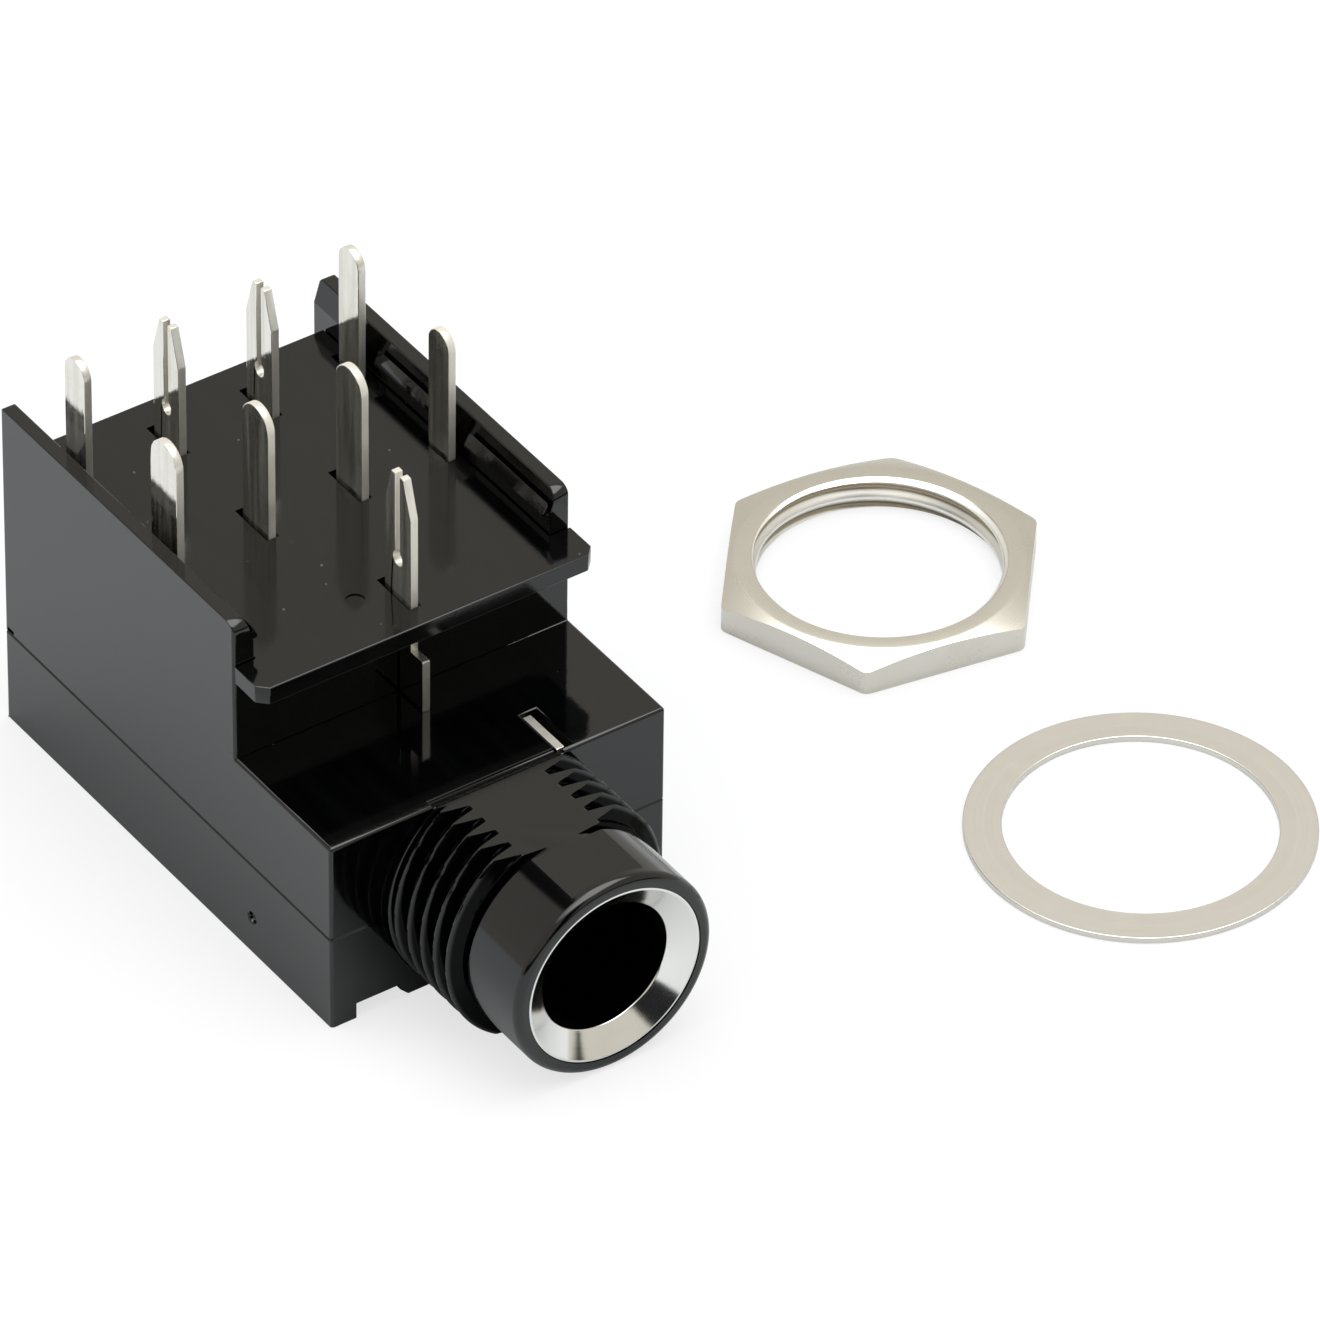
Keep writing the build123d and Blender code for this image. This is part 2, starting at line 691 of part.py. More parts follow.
# hex nut, turned on top, lying on the table
nut_corner = nut_flats / math.sqrt(3)
nut_root = thread_radius + thread_play
nut_crest = nut_root - nut_thread_depth
nut_top = table + nut_thickness
nut_axis = Axis((nut_x, nut_y, 0), (0, 0, 1))
with BuildPart() as hex_nut:
    with BuildSketch(Plane.XY.offset(table)):
        with Locations(Location((nut_x, nut_y), nut_turn)):
            RegularPolygon(nut_corner, 6)
    extrude(amount=nut_thickness)
    fillet(hex_nut.edges().filter_by(Axis.Z), nut_corner_round)
    # turned cone that takes off the upper corners
    far = nut_corner + 1
    with BuildSketch(Plane.XZ.offset(-nut_y)):
        with BuildLine():
            Polyline(
                (nut_x + nut_turned_radius, nut_top), (nut_x + far, nut_top),
                (nut_x + far, nut_top - nut_turned_drop * (far - nut_turned_radius)), close=True,
            )
        make_face()
    revolve(axis=nut_axis, mode=Mode.SUBTRACT)
    # hole with a lead at each end and a groove between two lands
    with BuildSketch(Plane.XZ.offset(-nut_y)):
        with BuildLine():
            Polyline(
                (nut_x, table), (nut_x + nut_bottom_rim, table),
                (nut_x + nut_crest, table + nut_lead),
                (nut_x + nut_crest, table + nut_lead + nut_land),
                (nut_x + nut_root, table + nut_thickness / 2),
                (nut_x + nut_crest, nut_top - nut_lead - nut_land),
                (nut_x + nut_crest, nut_top - nut_lead),
                (nut_x + nut_top_rim, nut_top), (nut_x, nut_top), close=True,
            )
        make_face()
    revolve(axis=nut_axis, mode=Mode.SUBTRACT)
hex_nut.part.label = "hex_nut"
export_step(hex_nut.part, "parts/hex_nut.step")

# flat washer, lying on the table
with BuildPart() as washer:
    with BuildSketch(Plane.XY.offset(table)):
        with Locations((washer_x, washer_y)):
            Circle(washer_outer)
            Circle(washer_inner, mode=Mode.SUBTRACT)
    extrude(amount=washer_thickness)
    chamfer(washer.edges().filter_by(GeomType.CIRCLE), washer_break)
washer.part.label = "washer"
export_step(washer.part, "parts/washer.step")
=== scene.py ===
import math
import bmesh
import bpy
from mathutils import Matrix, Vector


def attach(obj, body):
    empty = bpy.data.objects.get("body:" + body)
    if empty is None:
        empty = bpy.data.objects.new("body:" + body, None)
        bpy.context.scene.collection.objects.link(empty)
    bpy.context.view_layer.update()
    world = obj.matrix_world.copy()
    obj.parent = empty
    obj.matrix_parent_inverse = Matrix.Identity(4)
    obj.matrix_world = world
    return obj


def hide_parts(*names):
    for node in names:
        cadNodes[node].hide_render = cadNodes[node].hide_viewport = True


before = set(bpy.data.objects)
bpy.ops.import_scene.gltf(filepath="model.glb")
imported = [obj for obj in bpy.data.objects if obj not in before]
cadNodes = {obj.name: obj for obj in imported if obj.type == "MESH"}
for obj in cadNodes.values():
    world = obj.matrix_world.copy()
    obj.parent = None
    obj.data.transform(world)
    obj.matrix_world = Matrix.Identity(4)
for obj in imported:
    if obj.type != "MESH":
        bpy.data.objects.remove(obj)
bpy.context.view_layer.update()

mm = 0.001
collection = bpy.context.scene.collection
print("frame loaded with", len(cadNodes), "nodes")


class Wire:
    # one output socket that can be used in a sum or a product
    def __init__(self, finish, socket):
        self.finish = finish
        self.socket = socket

    def combine(self, operation, first, second=0.0):
        return self.finish.node("Math", {"operation": operation}, {0: first, 1: second})

    def __add__(self, other):
        return self.combine("ADD", self, other)

    def __radd__(self, other):
        return self.combine("ADD", other, self)

    def __sub__(self, other):
        return self.combine("SUBTRACT", self, other)

    def __rsub__(self, other):
        return self.combine("SUBTRACT", other, self)

    def __mul__(self, other):
        return self.combine("MULTIPLY", self, other)

    def __rmul__(self, other):
        return self.combine("MULTIPLY", other, self)

    def __pow__(self, other):
        return self.combine("POWER", self, other)

    def size(self):
        return self.combine("ABSOLUTE", self)

    def larger(self, other):
        return self.combine("MAXIMUM", self, other)

    def smaller(self, other):
        return self.combine("MINIMUM", self, other)

    def above(self, low, high):
        # 0 below low and 1 above high, with a soft step between them
        return self.finish.node("MapRange", {"interpolation_type": "SMOOTHSTEP"}, {0: self, 1: low, 2: high})


class Finish:
    # the nodes of a material or of the world
    def __init__(self, owner):
        owner.use_nodes = True
        self.owner = owner
        self.tree = owner.node_tree
        self.tree.nodes.clear()

    def node(self, kind, settings=None, sockets=None, output=0):
        made = self.tree.nodes.new("ShaderNode" + kind)
        for key, value in (settings or {}).items():
            setattr(made, key, value)
        for key, value in (sockets or {}).items():
            if isinstance(value, Wire):
                self.tree.links.new(value.socket, made.inputs[key])
            else:
                made.inputs[key].default_value = value
        return Wire(self, made.outputs[output]) if made.outputs else None

    def place(self, stretch=(1, 1, 1)):
        # place on the piece in millimetres
        spot = self.node("TexCoord", output="Object")
        return self.node("Mapping", sockets={"Vector": spot, "Scale": tuple(part / mm for part in stretch)})

    def split(self, vector):
        parts = self.node("SeparateXYZ", sockets={"Vector": vector}).socket.node
        return [Wire(self, parts.outputs[k]) for k in range(3)]

    def rays(self):
        # whether the eye, a mirror or clear material sees the surface
        path = self.node("LightPath").socket.node
        kinds = ("Is Camera Ray", "Is Glossy Ray", "Is Transmission Ray")
        return [Wire(self, path.outputs[kind]) for kind in kinds]

    def noise(self, where, scale, detail=2.0, roughness=0.5):
        return self.node("TexNoise", sockets={
            "Vector": where, "Scale": scale, "Detail": detail, "Roughness": roughness,
        })

    def blend(self, factor, first, second):
        # 6 and 7 are the two colours of a Mix node, and its output 2 is their blend
        return self.node("Mix", {"data_type": "RGBA"}, {0: factor, 6: first, 7: second}, output=2)

    def bump(self, height):
        # height in millimetres
        return self.node("Bump", sockets={"Strength": 1.0, "Distance": mm, "Height": height})

    def metal(self, colour, rough, relief):
        return self.node("BsdfPrincipled", sockets={
            "Base Color": colour, "Metallic": 1.0, "Roughness": rough, "Normal": self.bump(relief),
        })

    def plastic(self, colour, rough, relief, ior=1.5):
        return self.node("BsdfPrincipled", sockets={
            "Base Color": colour, "Roughness": rough, "IOR": ior, "Normal": self.bump(relief),
        })

    def matt(self, colour):
        return self.node("BsdfDiffuse", sockets={"Color": colour})

    def mixed(self, share, first, second):
        return self.node("MixShader", sockets={0: share, 1: first, 2: second})

    def closed(self, shader):
        self.node("OutputMaterial", sockets={"Surface": shader})
        return self.owner


def newFinish(name):
    return Finish(bpy.data.materials.new(name))


blackMoulding = {
    "colour": (0.0005, 0.0006, 0.0007, 1),
    "paleColour": (0.0016, 0.0017, 0.0018, 1),
    "dustColour": (0.12, 0.12, 0.11, 1),
    "dustShare": 0.5,
    "dustRough": 0.3,
    "dustHeight": 0.01,
    "peelHeight": 0.0012,
    "jointLevel": -0.2,
    "lineFoot": (-0.01, 0.01),  # edges of the dark line, above the level of the joint
    "lineTop": (0.08, 0.12),
    "sideWall": (8.602, 8.66),
    "rearWall": (26, 26.05),
    "crest": (5.6, 5.8),
    "threadFront": (-5.1, -4.9),
    "barrelFlat": (4.77, 4.795),
}


def mouldedFinish(name, gloss, satin, wave, jointDepth=0.0, threadShade=0.0, ior=1.5, dusty=1.0):
    b = blackMoulding
    finish = newFinish(name)
    where = finish.place()
    cloud = finish.noise(where, 0.22, 3.0)
    flow = finish.noise(finish.place((0.9, 0.12, 0.9)), 1.0, 4.0, 0.6)
    peel = finish.noise(where, 5.0)
    sink = finish.noise(where, 0.12, 1.0)
    # grains of dust, in patches only
    specks = finish.node("TexVoronoi", {"feature": "F1"}, {"Vector": where, "Scale": 1.1})
    grains = 1 - (specks + finish.noise(where, 14.0) * 0.04).above(0.04 * dusty, 0.075 * dusty)
    rarity = dusty ** 0.2
    dust = grains * finish.noise(where, 0.5, 1.0).above(0.6 / rarity, 0.66 / rarity)
    colour = finish.blend(flow.above(0.35, 0.75), b["colour"], b["paleColour"])
    colour = finish.blend(dust * b["dustShare"], colour, b["dustColour"])
    rough = cloud * (satin - gloss) + gloss + dust * b["dustRough"]
    relief = peel * b["peelHeight"] + sink * wave + dust * b["dustHeight"]
    plastic = finish.plastic(colour, rough, relief, ior)
    # the joint between the two mouldings is a dark line on the side and rear walls
    across, along, up = finish.split(where)
    level = up - b["jointLevel"]
    wall = across.size().above(*b["sideWall"]).larger(along.above(*b["rearWall"]))
    line = level.above(*b["lineFoot"]) * (1 - level.above(*b["lineTop"])) * wall
    # painted shade: the flanks and roots of the thread are mixed with matt black, so they look darker than
    # its crest
    radius = (across * across + up * up) ** 0.5
    valleyShade = (1 - radius.above(*b["crest"])) * along.above(*b["threadFront"])
    valleyShade = valleyShade * (1 - up.size().above(*b["barrelFlat"]))
    dim = (line * jointDepth).larger(valleyShade * threadShade)
    return finish.closed(finish.mixed(dim, plastic, finish.matt(b["colour"])))


tinnedStrip = {
    "colour": (0.74, 0.725, 0.68, 1),
    "stainColour": (0.60, 0.57, 0.49, 1),
    "edgeColour": (0.66, 0.63, 0.55, 1),
    "smooth": 0.025,
    "dull": 0.08,
    "pitRough": 0.1,
    "edgeRough": 0.3,
    "edgeMatt": 0.8,  # shares of matt on the pins, then on all edges and on the leaves in the body
    "faceMatt": 0.1,
    "faceHaze": 0.03,
    "edgeHaze": 0.06,
    "innerMatt": 0.3,
    "plateTop": (9.9, 10.1),
    "leafTop": (4.2, 4.6),
    "pinHeight": (10.0, 16.0),
    "rearRow": (15, 20),
    "leftSide": (-7.5, -3.5),
}


def tinnedFinish(name):
    t = tinnedStrip
    finish = newFinish(name)
    where = finish.place()
    grain = finish.noise(finish.place((9, 9, 0.35)), 1.0, 4.0, 0.6)
    cloud = finish.noise(where, 0.8, 3.0)
    streaks = finish.noise(finish.place((2.6, 2.6, 0.1)), 1.0).above(0.4, 0.7)
    pits = finish.noise(where, 9.0).above(0.66, 0.75)
    stain = cloud.above(0.45, 0.75) * 0.4 + streaks * 0.5 + pits * 0.1
    colour = finish.blend(stain, t["colour"], t["stainColour"])
    # the sheared edges are matt, the rolled faces look to the left and right and are not
    facing = finish.node("NewGeometry", output="Normal")
    edge = 1 - finish.split(facing)[0].size().above(0.3, 0.6)
    rough = grain * (t["dull"] - t["smooth"]) + t["smooth"] + pits * t["pitRough"] + edge * t["edgeRough"]
    metal = finish.metal(colour, rough, grain * 0.003 + pits * -0.002 + cloud * 0.01)
    # painted light and shade: the sheared edges' own matt share is made largest on the tips, on the pins of
    # the two front rows and on the pins right of the left side, so these look brightest, and below the plate
    # top the pins get none and stay darker
    across, along, up = finish.split(where)
    paintedPinLight = up.above(*t["pinHeight"]) * 0.5 + 0.5
    paintedPinLight = paintedPinLight * (1 - along.above(*t["rearRow"]) * 0.6) * (across.above(*t["leftSide"]) * 0.5 + 0.5)
    worn = finish.noise(where, 0.45, 3.0).above(0.35, 0.65)
    pinShare = edge * (1 - worn * 0.4) * paintedPinLight * t["edgeMatt"] + streaks * t["faceMatt"] + t["faceHaze"]
    share = up.above(*t["plateTop"]) * pinShare + edge * t["edgeHaze"]
    share = share + (1 - up.above(*t["leafTop"])) * t["innerMatt"]
    return finish.closed(finish.mixed(share, metal, finish.matt(t["edgeColour"])))


cutThread = {
    "colour": (0.86, 0.85, 0.82, 1),
    # the brown colour in the root of the cut thread is painted shade
    "rootShadeColour": (0.25, 0.2, 0.11, 1),
    "share": 0.8,
    "rootShadeShare": 0.85,
    "rim": 5.9,
    "rootShadeFrom": (5.78, 5.85),
}


def turnedFinish(name, piece, centre=(0, 0, 0), tilt=0.0, threadTop=None):
    # metal turned on a lathe, with fine rings round its own axis
    finish = newFinish(name)
    local = finish.node("Mapping", {"vector_type": "TEXTURE"}, {
        "Vector": finish.node("TexCoord", output="Object"), "Location": Vector(centre) * mm,
        "Rotation": (tilt, 0, 0), "Scale": (mm, mm, mm),
    })
    across, along, height = finish.split(local)
    radius = (across * across + along * along) ** 0.5
    ring = finish.noise(finish.node("CombineXYZ", sockets={"X": radius * 9, "Y": height * 9}), 1.0, 4.0, 0.7)
    cloud = finish.noise(local, 0.5, 3.0)
    tint = finish.blend(cloud.above(0.3, 0.8) * 0.6 + ring * 0.3, piece["colour"], piece["shade"])
    rough = ring * (piece["dull"] - piece["smooth"]) + piece["smooth"] + cloud.above(0.5, 0.8) * 0.04
    if threadTop is not None:
        # cut thread: brighter than the faces, with painted brown shade down in its root
        c = cutThread
        inside = 1 - radius.above(c["rim"] - 0.02, c["rim"])
        inside = inside * (1 - height.above(threadTop - 0.04, threadTop - 0.02))
        rough = rough * (1 + inside * 0.5)
        tint = finish.blend(inside * c["share"], tint, c["colour"])
        tint = finish.blend(inside * radius.above(*c["rootShadeFrom"]) * c["rootShadeShare"], tint, c["rootShadeColour"])
    return finish.closed(finish.metal(tint, rough, ring * piece["grooves"] + cloud * 0.004))


def paleFinish(name):
    finish = newFinish(name)
    cloud = finish.noise(finish.place(), 1.5, 3.0)
    colour = finish.blend(cloud, (0.78, 0.76, 0.70, 1), (0.70, 0.67, 0.60, 1))
    return finish.closed(finish.plastic(colour, cloud * 0.2 + 0.4, cloud * 0.01))


glossyPlastic = mouldedFinish("glossyPlastic", gloss=0.05, satin=0.11, wave=0.004, jointDepth=0.92)
# the barrel's thread gets painted shade in its valleys
barrelPlastic = mouldedFinish("barrelPlastic", gloss=0.07, satin=0.13, wave=0.002, threadShade=0.85)
platePlastic = mouldedFinish("platePlastic", gloss=0.07, satin=0.13, wave=0.004, ior=1.47, dusty=1.6)
tinnedMetal = tinnedFinish("tinnedMetal")
palePlastic = paleFinish("palePlastic")
print("plastics and tinned strip mixed")


def addPiece(name, mesh, material):
    mesh.materials.append(material)
    piece = bpy.data.objects.new(name, mesh)
    collection.objects.link(piece)
    return piece


def smoothByAngle(mesh, degrees):
    mesh.shade_smooth()
    mesh.set_sharp_from_angle(angle=math.radians(degrees))


def meshOf(form, name):
    mesh = bpy.data.meshes.new(name)
    form.to_mesh(mesh)
    form.free()
    return mesh


rounding = {
    "sharp": math.radians(35),
    "flat": math.radians(0.6),  # faces that turn less than this are one flat face
    "grid": 2000,  # steps in a millimetre for corners that are the same
    "plastic": 0.05,
    "metal": 0.04,
    "segments": 2,
    "square": 0.99999,
    "largeFace": 3,  # square millimetres
    "weld": 0.006,
    "shortest": 0.003,
}


def solidOf(node, frontCut=None):
    # the shape of a CAD node with its flat faces made whole again
    source = cadNodes[node].data
    form = bmesh.new()
    seen = {}
    for polygon in source.polygons:
        loop = []
        for index in polygon.vertices:
            key = tuple(round(c / mm * rounding["grid"]) for c in source.vertices[index].co)
            if key not in seen:
                seen[key] = form.verts.new(source.vertices[index].co)
            loop.append(seen[key])
        if len(set(loop)) == len(loop) and form.faces.get(loop) is None:
            form.faces.new(loop)
    if frontCut is not None:
        everything = list(form.verts) + list(form.edges) + list(form.faces)
        bmesh.ops.bisect_plane(
            form, geom=everything, dist=0.001 * mm, plane_co=(0, frontCut * mm, 0), plane_no=(0, 1, 0),
            clear_inner=True)
    bmesh.ops.dissolve_limit(form, angle_limit=rounding["flat"], verts=form.verts, edges=form.edges)
    return meshOf(form, node + "Finished")


def markEdges(mesh, chosen):
    # weight 1 on the sharp edges that show, by the place of their middle in millimetres
    form = bmesh.new()
    form.from_mesh(mesh)
    layer = form.edges.layers.float.new("bevel_weight_edge")
    for edge in form.edges:
        sharp = len(edge.link_faces) == 2 and edge.calc_face_angle() > rounding["sharp"]
        middle = (edge.verts[0].co + edge.verts[1].co) / 2 / mm
        edge[layer] = 1.0 if sharp and chosen(middle) else 0.0
    form.to_mesh(mesh)
    form.free()


def roundEdges(piece, width):
    low, high = tuple(piece.bound_box[0]), tuple(piece.bound_box[6])
    bevel = piece.modifiers.new("edges", "BEVEL")
    bevel.width = width * mm
    bevel.segments = rounding["segments"]
    bevel.limit_method = "WEIGHT"
    bevel.use_clamp_overlap = False
    bevel.material = 1
    graph = bpy.context.evaluated_depsgraph_get()
    mesh = bpy.data.meshes.new_from_object(piece.evaluated_get(graph))
    piece.modifiers.clear()
    piece.data = mesh
    mesh.set_sharp_from_angle(angle=rounding["sharp"])
    form = bmesh.new()
    form.from_mesh(mesh)
    for face in form.faces:
        # square and large faces stay flat, rounded ones run smooth
        square = max(abs(part) for part in face.normal) > rounding["square"]
        large = face.calc_area() > rounding["largeFace"] * mm * mm
        face.smooth = face.material_index == 1 or not (square or large)
        face.material_index = 0
    for vert in form.verts:
        # no rounding leaves the box of its piece
        vert.co = [min(max(vert.co[k], low[k]), high[k]) for k in range(3)]
    bmesh.ops.remove_doubles(form, verts=form.verts, dist=rounding["weld"] * mm)
    bmesh.ops.dissolve_degenerate(form, edges=form.edges, dist=rounding["shortest"] * mm)
    bmesh.ops.triangulate(form, faces=[f for f in form.faces if len(f.verts) > 4], ngon_method="EAR_CLIP")
    form.to_mesh(mesh)
    form.free()
    mesh.materials.pop()


def ringSolid(rings, steps, middle, axis):
    # closed solid of rings about one axis: each ring gives radius and place for an angle
    form = bmesh.new()
    rows = []
    for ring in rings:
        row = []
        for n in range(steps):
            angle = 2 * math.pi * n / steps
            radius, place = ring(angle) if callable(ring) else ring
            across, up = radius * math.cos(angle), radius * math.sin(angle)
            spot = (across, place, up) if axis == "y" else (across, up, place)
            row.append(form.verts.new((Vector(spot) + Vector(middle)) * mm))
        rows.append(row)
    for first, second in zip(rows, rows[1:] + rows[:1]):
        for n in range(steps):
            after = (n + 1) % steps
            form.faces.new((first[n], first[after], second[after], second[n]))
    bmesh.ops.recalc_face_normals(form, faces=form.faces)
    return meshOf(form, "rings")


def cut(mesh, other, operation):
    # result of one solid cut by, or kept inside, another
    first = bpy.data.objects.new("first", mesh)
    second = bpy.data.objects.new("second", other)
    collection.objects.link(first)
    collection.objects.link(second)
    step = first.modifiers.new("cut", "BOOLEAN")
    step.operation = operation
    step.solver = "MANIFOLD"
    step.object = second
    graph = bpy.context.evaluated_depsgraph_get()
    result = bpy.data.meshes.new_from_object(first.evaluated_get(graph))
    bpy.data.objects.remove(first)
    bpy.data.objects.remove(second)
    return result


def blockMesh(low, high):
    form = bmesh.new()
    bmesh.ops.create_cube(form, size=1)
    for vert in form.verts:
        vert.co = Vector([(low[k] if vert.co[k] < 0 else high[k]) * mm for k in range(3)])
    return meshOf(form, "block")


barrel = {
    "bore": 3.25, "seat": 3.7, "lip": 4.5, "seatBack": -4.85, "lipBack": -8.75, "length": 9.0,
    "collar": 5.15, "collarEdge": 0.04, "rimRound": 0.4, "rimSteps": 12, "rimLength": 0.6,
    "neck": 4.86, "neckBack": -5.2, "neckEdge": 0.02,
    "threadEnd": -4.9, "root": 5.2, "crest": 5.82, "pitch": 1.0, "phase": 0.603,
    "ridgeHalf": 0.34, "flank": 0.3, "runOut": 0.25, "shoulder": 0.3, "shoulderSlope": 0.25,
    "flatLevel": 4.8, "steps": 360, "rowsPerPitch": 26,
}


def ridgeShape(turn):
    # height of a thread, from 0 at the root to 1 on the crest, along one pitch
    part = turn % 1.0
    return min(1.0, max(0.0, (barrel["ridgeHalf"] - abs(part - 0.5)) / barrel["flank"]))


def barrelThread(place):
    b = barrel

    def ring(angle):
        turn = (place - b["threadEnd"]) / b["pitch"] + angle / (2 * math.pi) + b["phase"]
        fade = min(1.0, max(0.0, (place - b["threadEnd"]) / b["runOut"]))
        ramp = min(1.0, max(0.0, (place + b["shoulder"]) / b["shoulderSlope"]))
        height = max(ridgeShape(turn) * fade, ramp)
        # the root rises out of the neck twice as fast as the ridge
        floor = b["neck"] + (b["root"] - b["neck"]) * min(1.0, fade * 2)
        return floor + (b["crest"] - floor) * height, place
    return ring


def makeBarrel():
    b = barrel
    front = -b["length"]
    rings = [(b["bore"], 0), (b["bore"], b["seatBack"]), (b["seat"], b["seatBack"])]
    rings += [(b["seat"], b["lipBack"] + b["lip"] - b["seat"]), (b["lip"], b["lipBack"]), (b["lip"], front)]
    for n in range(b["rimSteps"] + 1):
        turn = math.radians(90 * n / b["rimSteps"])
        radius = b["collar"] - b["rimRound"] * (1 - math.sin(turn))
        rings.append((radius, front + b["rimRound"] * (1 - math.cos(turn))))
    rings += [(b["collar"], b["neckBack"] - b["collarEdge"]), (b["collar"] - b["collarEdge"], b["neckBack"])]
    rings += [(b["neck"] + b["neckEdge"], b["neckBack"]), (b["neck"], b["neckBack"] + b["neckEdge"])]
    count = round(-b["threadEnd"] / b["pitch"] * b["rowsPerPitch"])
    rings += [barrelThread(b["threadEnd"] * (1 - n / count)) for n in range(count + 1)]
    mesh = ringSolid(rings, b["steps"], (0, 0, 0), "y")
    far = 8  # clear of the barrel all round
    for side in (-1, 1):
        levels = sorted((side * b["flatLevel"], side * far))
        block = blockMesh((-far, front + b["rimLength"], levels[0]), (far, 1, levels[1]))
        mesh = cut(mesh, block, "DIFFERENCE")
    mesh.name = "barrel"
    mesh.materials.clear()
    smoothByAngle(mesh, 11)
    piece = addPiece("barrel", mesh, barrelPlastic)
    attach(piece, "root")
    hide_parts("housing")
    print("barrel cut,", len(mesh.polygons), "faces")


ferrule = {
    "bore": 3.25, "outer": 3.7, "lip": 4.5, "funnel": 4.36, "front": -8.95, "back": -4.85, "coneAngle": 34,
    "mouthRound": 0.12, "mouthSteps": 12, "backEdge": 0.15, "lipEdge": 0.04, "lipBack": -8.75, "steps": 256,
    "colour": (0.74, 0.735, 0.71, 1), "shade": (0.68, 0.67, 0.64, 1), "smooth": 0.05, "dull": 0.14,
    "grooves": 0.002,
}


def makeFerrule():
    f = ferrule
    rings = [(f["outer"], f["back"]), (f["bore"] + f["backEdge"], f["back"])]
    rings += [(f["bore"], f["back"] - f["backEdge"])]
    # the bore rounds over into the cone of the mouth
    slope = math.radians(f["coneAngle"])
    turns = math.pi / 2 - slope
    coneEnd = f["bore"] + f["mouthRound"] * (1 - math.cos(turns))
    depth = (f["funnel"] - coneEnd) * math.tan(slope)
    rise = f["front"] + depth + f["mouthRound"] * math.sin(turns)
    for n in range(f["mouthSteps"] + 1):
        turn = turns * n / f["mouthSteps"]
        radius = f["bore"] + f["mouthRound"] * (1 - math.cos(turn))
        rings.append((radius, rise - f["mouthRound"] * math.sin(turn)))
    rings.append((f["funnel"], f["front"]))
    rings += [(f["lip"] - f["lipEdge"], f["front"]), (f["lip"], f["front"] + f["lipEdge"])]
    rings += [(f["lip"], f["lipBack"]), (f["outer"], f["lipBack"] + f["lip"] - f["outer"])]
    mesh = ringSolid(rings, f["steps"], (0, 0, 0), "y")
    smoothByAngle(mesh, 32)
    piece = addPiece("flaredFerrule", mesh, turnedFinish("ferruleMetal", f, tilt=math.pi / 2))
    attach(piece, "root")
    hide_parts("ferrule")
    print("ferrule turned")


nut = {
    "x": 29.02, "y": 12.05, "table": -5.15, "thickness": 1.69, "flats": 13.76, "turn": 50.3,
    "cornerRound": 0.5, "turned": 6.6, "coneDrop": 0.36, "coneSoft": 0.06, "skim": 0.002,
    "crest": 5.58, "root": 5.87, "topRim": 5.87, "bottomRim": 5.75, "lead": 0.14, "pitch": 1.0, "beyond": 0.2,
    "steps": 360, "rows": 72,
    "colour": (0.64, 0.615, 0.56, 1), "shade": (0.60, 0.565, 0.505, 1), "smooth": 0.22, "dull": 0.3,
    "grooves": 0.001,
}


def nutBore(place):
    n = nut

    def ring(angle):
        low, high = place - n["table"], n["table"] + n["thickness"] - place
        turn = 2 * math.pi * low / n["pitch"] - angle
        radius = n["crest"] + (n["root"] - n["crest"]) * (0.5 + 0.5 * math.cos(turn))
        topLead = n["topRim"] - (n["topRim"] - n["crest"]) * high / n["lead"]
        bottomLead = n["bottomRim"] - (n["bottomRim"] - n["crest"]) * low / n["lead"]
        return max(radius, topLead, bottomLead), place
    return ring


def nutPrism(corner, top):
    # hexagon with rounded corners, from the table up to the top
    n = nut
    centre = corner - n["cornerRound"] / math.cos(math.radians(30))
    outline = []
    for k in range(6):
        middle = math.radians(n["turn"] + 60 * k)
        for step in range(-3, 4):
            turn = middle + math.radians(10 * step)
            outline.append((
                centre * math.cos(middle) + n["cornerRound"] * math.cos(turn),
                centre * math.sin(middle) + n["cornerRound"] * math.sin(turn)))
    form = bmesh.new()
    lower = [form.verts.new(Vector((n["x"] + x, n["y"] + y, n["table"])) * mm) for x, y in outline]
    upper = [form.verts.new(Vector((n["x"] + x, n["y"] + y, top)) * mm) for x, y in outline]
    form.faces.new(list(reversed(lower)))
    form.faces.new(upper)
    for k in range(len(outline)):
        after = (k + 1) % len(outline)
        form.faces.new((lower[k], lower[after], upper[after], upper[k]))
    return meshOf(form, "prism")


def makeNut():
    n = nut
    middle = (n["x"], n["y"], 0)
    corner = n["flats"] / math.sqrt(3)
    top = n["table"] + n["thickness"]
    far = corner + 1
    core = 0.5  # inner radius of the ring that keeps the turned shape
    rings = [(core, n["table"] - 1), (far, n["table"] - 1), (far, top - n["coneDrop"] * (far - n["turned"]))]
    rings += [(n["turned"] + n["coneSoft"], top - n["coneDrop"] * n["coneSoft"])]
    rings += [(n["turned"] - n["coneSoft"], top - n["skim"]), (core, top - n["skim"])]
    mesh = cut(nutPrism(corner, top), ringSolid(rings, n["steps"], middle, "z"), "INTERSECT")
    # the cutter starts below the nut and ends above it, on a narrower core
    start, length = n["table"] - n["beyond"], n["thickness"] + 2 * n["beyond"]
    bored = [(0.3, start)]
    bored += [nutBore(start + length * k / n["rows"]) for k in range(n["rows"] + 1)]
    bored += [(0.3, top + n["beyond"])]
    mesh = cut(mesh, ringSolid(bored, n["steps"], middle, "z"), "DIFFERENCE")
    mesh.name = "hexNut"
    mesh.materials.clear()
    smoothByAngle(mesh, 16)
    piece = addPiece("hexNut", mesh, turnedFinish("nutMetal", n, middle, threadTop=top))
    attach(piece, "root")
    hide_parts("hex_nut")
    print("nut turned and tapped,", len(mesh.polygons), "faces")


washer = {
    "x": 28.6, "y": -8.64, "table": -5.15, "outer": 7.92, "inner": 6.18, "thickness": 0.3,
    "round": 0.05, "roundSteps": 4, "beside": 0.01, "underEdge": 0.02, "steps": 300,
    "colour": (0.635, 0.615, 0.57, 1), "shade": (0.60, 0.575, 0.53, 1), "smooth": 0.26, "dull": 0.38,
    "grooves": 0.002,
}


